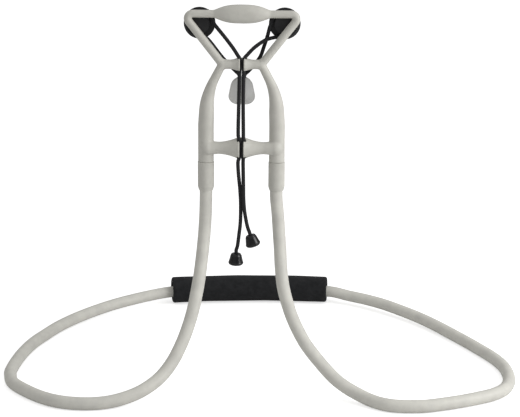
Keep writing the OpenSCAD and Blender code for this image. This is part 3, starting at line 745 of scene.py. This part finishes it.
def make_pull(name, pull):
    """A glossy bell: rounded shoulder, flared skirt, rounded rim and a hollow below."""
    at, lean = pull
    hole_r = CORD_D / 2 + FIT
    shoulder = [(PULL_TOP_R - PULL_SHOULDER * (1 - math.cos(a)), -PULL_SHOULDER * (1 - math.sin(a)))
                for a in np.radians(np.arange(90, -1, -10))]
    first, last, full, power = PULL_SKIRT
    skirt = [(PULL_TOP_R + (PULL_BASE_R - PULL_TOP_R) * (t / full) ** power, -t * PULL_H)
             for t in np.linspace(first, last, 12)]
    rim = [(PULL_BASE_R - PULL_EDGE * (1 - math.cos(a)), -PULL_H + PULL_EDGE * (1 - math.sin(a)))
           for a in np.radians(np.arange(0, 91, 10))]
    mouth_r = PULL_BASE_R - PULL_EDGE
    inside = [(mouth_r - 0.4, -PULL_H), (mouth_r - 0.6, -PULL_H + 0.2),
              (mouth_r - 0.8, PULL_RECESS - PULL_H - 0.2),
              (mouth_r - 1, PULL_RECESS - PULL_H), (0.01, PULL_RECESS - PULL_H)]
    mouth = [(0.01, -CORD_IN_PULL - FIT), (hole_r, -CORD_IN_PULL - FIT), (hole_r, -0.3),
             (hole_r + 0.3, 0)]
    c, s = math.cos(lean), math.sin(lean)

    def place(p):
        turned = np.stack([p[:, 0] * c - p[:, 2] * s, p[:, 1], p[:, 0] * s + p[:, 2] * c], -1)
        return at_head(turned + at)

    return lathe(name, mouth + shoulder + skirt + rim + inside, 64, place)


# Materials

def new_material(name):
    material = bpy.data.materials.new(name)
    material.use_nodes = True
    nodes = material.node_tree.nodes
    return material, nodes, material.node_tree.links, nodes["Principled BSDF"]


def object_coordinates(nodes):
    return nodes.new("ShaderNodeTexCoord").outputs["Object"]


def noise_texture(nodes, links, coordinates, scale, detail=4, roughness=0.6):
    node = nodes.new("ShaderNodeTexNoise")
    node.inputs["Scale"].default_value = scale
    node.inputs["Detail"].default_value = detail
    node.inputs["Roughness"].default_value = roughness
    links.new(coordinates, node.inputs["Vector"])
    return node.outputs["Fac"]


def color_between(nodes, links, factor, dark, light, low=0.35, high=0.65):
    ramp = nodes.new("ShaderNodeValToRGB")
    ramp.color_ramp.elements[0].position = low
    ramp.color_ramp.elements[0].color = (*dark, 1)
    ramp.color_ramp.elements[1].position = high
    ramp.color_ramp.elements[1].color = (*light, 1)
    links.new(factor, ramp.inputs["Fac"])
    return ramp.outputs["Color"]


def range_between(nodes, links, factor, low, high):
    node = nodes.new("ShaderNodeMapRange")
    node.inputs["To Min"].default_value = low
    node.inputs["To Max"].default_value = high
    links.new(factor, node.inputs["Value"])
    return node.outputs["Result"]


def add_bump(nodes, links, shader, height, strength, distance, before=None):
    """Bump on a shader, after the one whose normal is given as before."""
    bump = nodes.new("ShaderNodeBump")
    bump.inputs["Strength"].default_value = strength
    bump.inputs["Distance"].default_value = distance
    links.new(height, bump.inputs["Height"])
    if before is not None:
        links.new(before, bump.inputs["Normal"])
    links.new(bump.outputs["Normal"], shader.inputs["Normal"])
    return bump.outputs["Normal"]


def moulded(name, dark, light, roughness, specular, grain=2600, depth=0.00004):
    """Moulded plastic or rubber: a fine grain, faint cloudiness and uneven gloss."""
    material, nodes, links, shader = new_material(name)
    at = object_coordinates(nodes)
    cloud = noise_texture(nodes, links, at, scale=90, detail=3)
    fine = noise_texture(nodes, links, at, scale=grain, detail=2, roughness=0.5)
    links.new(color_between(nodes, links, cloud, dark, light), shader.inputs["Base Color"])
    links.new(range_between(nodes, links, cloud, roughness - 0.06, roughness + 0.06),
              shader.inputs["Roughness"])
    shader.inputs["Specular IOR Level"].default_value = specular
    add_bump(nodes, links, shader, fine, strength=0.35, distance=depth)
    return material


def foam_material():
    """Charcoal foam with closed pores and a soft, dusty sheen."""
    material, nodes, links, shader = new_material("grip_foam")
    at = object_coordinates(nodes)
    pores = nodes.new("ShaderNodeTexVoronoi")
    pores.inputs["Scale"].default_value = 1500
    links.new(at, pores.inputs["Vector"])
    cloud = noise_texture(nodes, links, at, scale=160, detail=5, roughness=0.7)
    links.new(color_between(nodes, links, cloud, (0.012, 0.0125, 0.0135), (0.021, 0.0215, 0.023)),
              shader.inputs["Base Color"])
    shader.inputs["Roughness"].default_value = 0.95
    shader.inputs["Specular IOR Level"].default_value = 0.12
    shader.inputs["Sheen Weight"].default_value = 0.04
    shader.inputs["Sheen Roughness"].default_value = 0.6
    first = add_bump(nodes, links, shader, pores.outputs["Distance"], strength=0.5, distance=0.0002)
    add_bump(nodes, links, shader, cloud, strength=0.4, distance=0.0003, before=first)
    return material


def cord_material():
    """Black braided elastic, with lighter threads along the strands."""
    material, nodes, links, shader = new_material("cord_fabric")
    at = object_coordinates(nodes)
    threads = noise_texture(nodes, links, at, scale=2400, detail=3, roughness=0.7)
    links.new(color_between(nodes, links, threads, (0.008, 0.008, 0.009), (0.02, 0.02, 0.022)),
              shader.inputs["Base Color"])
    shader.inputs["Roughness"].default_value = 0.75
    shader.inputs["Specular IOR Level"].default_value = 0.25
    shader.inputs["Sheen Weight"].default_value = 0.08
    add_bump(nodes, links, shader, threads, strength=0.4, distance=0.0001)
    return material


def gloss_black():
    """Polished black plastic with faint flow marks."""
    material, nodes, links, shader = new_material("pull_gloss")
    at = object_coordinates(nodes)
    cloud = noise_texture(nodes, links, at, scale=300, detail=3)
    links.new(color_between(nodes, links, cloud, (0.004, 0.004, 0.005), (0.008, 0.008, 0.009)),
              shader.inputs["Base Color"])
    links.new(range_between(nodes, links, cloud, low=0.16, high=0.3), shader.inputs["Roughness"])
    shader.inputs["Specular IOR Level"].default_value = 0.4
    add_bump(nodes, links, shader, cloud, strength=0.15, distance=0.0002)
    return material


def dress(obj, material):
    obj.data.materials.clear()
    obj.data.materials.append(material)


# Studio

def make_camera():
    camera = bpy.data.objects.new("camera", bpy.data.cameras.new("camera"))
    bpy.context.scene.collection.objects.link(camera)
    camera.data.lens = CAMERA_LENS
    camera.data.sensor_width = 36
    camera.location = CAMERA_AT
    camera.rotation_mode = "XYZ"
    pitch = Matrix.Rotation(CAMERA_PITCH, 4, "X")
    roll = Matrix.Rotation(CAMERA_ROLL, 4, "Z")
    camera.rotation_euler = (pitch @ roll).to_euler()
    bpy.context.scene.camera = camera


def seen_directly(nodes, links):
    """1 for what the camera sees, also through something clear, and 0 for other light."""
    path = nodes.new("ShaderNodeLightPath")
    either = nodes.new("ShaderNodeMath")
    either.operation = "MAXIMUM"
    links.new(path.outputs["Is Camera Ray"], either.inputs[0])
    links.new(path.outputs["Is Transmission Ray"], either.inputs[1])
    return either.outputs[0]


def make_floor():
    """A wide pale floor just below the part, which glows a little for the camera."""
    size = 20.0
    mesh = bpy.data.meshes.new("floor")
    z = -0.0001
    mesh.from_pydata([(-size, -size, z), (size, -size, z), (size, size, z), (-size, size, z)],
                     [], [(0, 1, 2, 3)])
    floor = bpy.data.objects.new("floor", mesh)
    bpy.context.scene.collection.objects.link(floor)
    material = bpy.data.materials.new("floor")
    material.use_nodes = True
    nodes, links = material.node_tree.nodes, material.node_tree.links
    nodes.clear()
    diffuse = nodes.new("ShaderNodeBsdfDiffuse")
    diffuse.inputs["Color"].default_value = (0.8, 0.8, 0.8, 1)
    glow = nodes.new("ShaderNodeEmission")
    strength = nodes.new("ShaderNodeMath")
    strength.operation = "MULTIPLY"
    strength.inputs[1].default_value = FLOOR_GLOW
    links.new(seen_directly(nodes, links), strength.inputs[0])
    links.new(strength.outputs[0], glow.inputs["Strength"])
    both = nodes.new("ShaderNodeAddShader")
    links.new(diffuse.outputs[0], both.inputs[0])
    links.new(glow.outputs[0], both.inputs[1])
    out = nodes.new("ShaderNodeOutputMaterial")
    links.new(both.outputs[0], out.inputs["Surface"])
    mesh.materials.append(material)


def make_world():
    """A pale dome, brighter overhead; the camera sees it white."""
    world = bpy.data.worlds.new("studio")
    bpy.context.scene.world = world
    world.use_nodes = True
    nodes, links = world.node_tree.nodes, world.node_tree.links
    nodes.clear()
    at = nodes.new("ShaderNodeTexCoord")
    split = nodes.new("ShaderNodeSeparateXYZ")
    links.new(at.outputs["Generated"], split.inputs[0])
    level = nodes.new("ShaderNodeMapRange")
    level.inputs["From Min"].default_value = 0
    level.inputs["From Max"].default_value = 1
    level.inputs["To Min"].default_value = WORLD_LEVEL[0]
    level.inputs["To Max"].default_value = WORLD_LEVEL[1]
    links.new(split.outputs["Z"], level.inputs["Value"])
    light = nodes.new("ShaderNodeBackground")
    links.new(level.outputs["Result"], light.inputs["Strength"])
    white = nodes.new("ShaderNodeBackground")
    white.inputs["Strength"].default_value = WHITE_LEVEL
    mix = nodes.new("ShaderNodeMixShader")
    links.new(seen_directly(nodes, links), mix.inputs["Fac"])
    links.new(light.outputs[0], mix.inputs[1])
    links.new(white.outputs[0], mix.inputs[2])
    out = nodes.new("ShaderNodeOutputWorld")
    links.new(mix.outputs[0], out.inputs["Surface"])


def add_softbox(name, at, aim, size, power):
    data = bpy.data.lights.new(name, "AREA")
    data.shape = "SQUARE"
    data.size = size
    data.energy = power
    box = bpy.data.objects.new(name, data)
    bpy.context.scene.collection.objects.link(box)
    box.location = at
    box.rotation_mode = "QUATERNION"
    box.rotation_quaternion = (Vector(aim) - Vector(at)).to_track_quat("-Z", "Y")


def add_sun(name, towards, strength, angle):
    data = bpy.data.lights.new(name, "SUN")
    data.energy = strength
    data.angle = math.radians(angle)
    sun = bpy.data.objects.new(name, data)
    bpy.context.scene.collection.objects.link(sun)
    sun.rotation_mode = "QUATERNION"
    sun.rotation_quaternion = Vector(towards).to_track_quat("-Z", "Y")


bpy.context.scene.view_settings.view_transform = "Standard"
make_camera()
make_floor()
make_world()
add_softbox("key", at=(0.85, -0.38, 0.5), aim=(0, 0, 0.1), size=0.6, power=6.2)
add_sun("fill", towards=(0.5, 0.75, -0.5), strength=0.15, angle=70)

# The object
rubber = moulded("sleeve_rubber", (0.58, 0.57, 0.525), (0.645, 0.635, 0.58), 0.5, 0.35)
plastic = moulded("frame_plastic", (0.525, 0.515, 0.47), (0.58, 0.57, 0.52), 0.48, 0.4, 3200)
white_plastic = moulded("claw_plastic", (0.66, 0.66, 0.645), (0.72, 0.72, 0.705), 0.38, 0.5, 3600)
black_plastic = moulded("hook_plastic", (0.010, 0.010, 0.011), (0.017, 0.017, 0.018), 0.45, 0.3,
                        3000)
metal, _, _, metal_shader = new_material("core_metal")
metal_shader.inputs["Metallic"].default_value = 1
metal_shader.inputs["Roughness"].default_value = 0.4

neck_tube = make_neck_tube()
dress(neck_tube, rubber)
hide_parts("neck_sleeve")
core = make_core()
dress(core, metal)
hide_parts("core_wire")
for piece in (neck_tube, core):
    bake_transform(piece)

grip = make_grip()
dress(grip, foam_material())
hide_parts("foam_grip")
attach(grip, "neck")

frame_body = make_frame_body()
dress(frame_body, plastic)
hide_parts("head_frame")
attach(frame_body, "head")
for node in ("left_collar", "right_collar"):
    dress(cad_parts[node], plastic)
for node in ("left_hook", "right_hook"):
    dress(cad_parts[node], black_plastic)

claw_body = make_claw_body()
dress(claw_body, white_plastic)
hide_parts("bottom_claw")
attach(claw_body, "claw")

braid = cord_material()
gloss = gloss_black()
for side, route, pull, lean_x in (("left", LEFT_CORD, LEFT_PULL, FOLLOW_LEAN),
                                  ("right", RIGHT_CORD, RIGHT_PULL, -FOLLOW_LEAN)):
    bell = make_pull(side + "_bell", pull)
    dress(bell, gloss)
    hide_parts(side + "_pull")
    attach(bell, "head")
    cord, path = make_cord(side + "_braid", route, pull)
    dress(cord, braid)
    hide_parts(side + "_cord")
    start = at_head((0, FOLLOW_Y, 0))
    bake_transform(cord)
